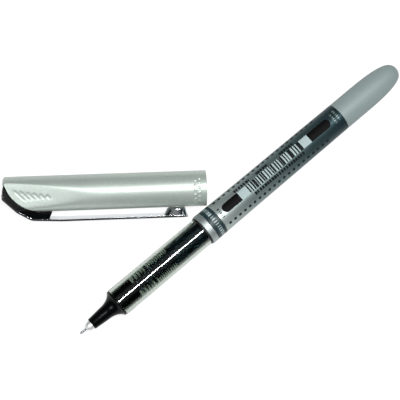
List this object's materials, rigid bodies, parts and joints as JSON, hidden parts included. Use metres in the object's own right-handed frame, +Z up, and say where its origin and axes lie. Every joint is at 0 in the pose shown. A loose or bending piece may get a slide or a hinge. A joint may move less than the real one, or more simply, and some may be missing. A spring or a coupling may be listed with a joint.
{
  "type": "rollerball pen",
  "caption": "Uncapped needle-point rollerball pen with a clear grip section over a finned ink collector, lying beside its pearl cap with a sprung metal clip.",
  "frame": {"origin": "middle of the bounding box of the pen and its cap, on the surface that they lie on", "axes": "+X along the cap from its closed end to its mouth, +Z up from the surface, +Y from the writing tip's side towards the tail's side; the pen points 37.98 degrees round from +X"},
  "size_m": [0.1262, 0.0816, 0.0111],
  "materials": {
    "carbide": "polished tungsten carbide",
    "steel": "drawn stainless tube",
    "tip_metal": "turned nickel silver, satin",
    "black_plastic": "moulded, semi-gloss",
    "clear_plastic": "clear moulded polycarbonate, glossy",
    "fibre": "bonded fibre soaked with ink",
    "ink": "liquid ink",
    "natural_plastic": "unpigmented polypropylene",
    "rubber": "matte black",
    "trim_metal": "bright satin",
    "dark_plastic": "dark teal, glossy",
    "printed_plastic": "grey-green to slate, printed",
    "tail_plastic": "satin grey",
    "pearl_plastic": "pearl, satin",
    "clip_metal": "chromed spring steel"
  },
  "bodies": {
    "pen": {"needle_tube": "steel", "tip_cone": "tip_metal", "nose_cone": "black_plastic", "front_barrel": "clear_plastic", "ink_collector": "black_plastic", "feed_rod": "fibre", "tank_bulkhead": "black_plastic", "ink_charge": "ink", "tank_plug": "natural_plastic", "seal_ring": "rubber", "trim_ring": "trim_metal", "label_band": "dark_plastic", "rear_barrel": "printed_plastic", "tail_plug": "tail_plastic"},
    "ball": {"writing_ball": "carbide"},
    "cap": {"cap_shell": "pearl_plastic", "end_block": "black_plastic", "clip_base": "clip_metal", "inner_cap": "natural_plastic", "tip_seal": "rubber"},
    "clip": {"clip_arm": "clip_metal"}
  },
  "joints": [
    {"name": "cap_slide", "type": "slide", "parent": "pen", "child": "cap", "axis": [-1, 0, 0], "range_m": [0, 0.0495]},
    {"name": "clip_flex", "type": "hinge", "parent": "cap", "child": "clip", "pos_m": [-0.04812, -0.00422, 0.00231], "axis": [0, 0.4056, -0.914], "range_deg": [0, 4], "stiffness_Nm_per_rad": 2},
    {"name": "ball_roll", "type": "hinge", "parent": "pen", "child": "ball", "pos_m": [-0.04013, -0.0405, 0.00515], "axis": [-0.6154, 0.7882, 0], "continuous": true}
  ]
}
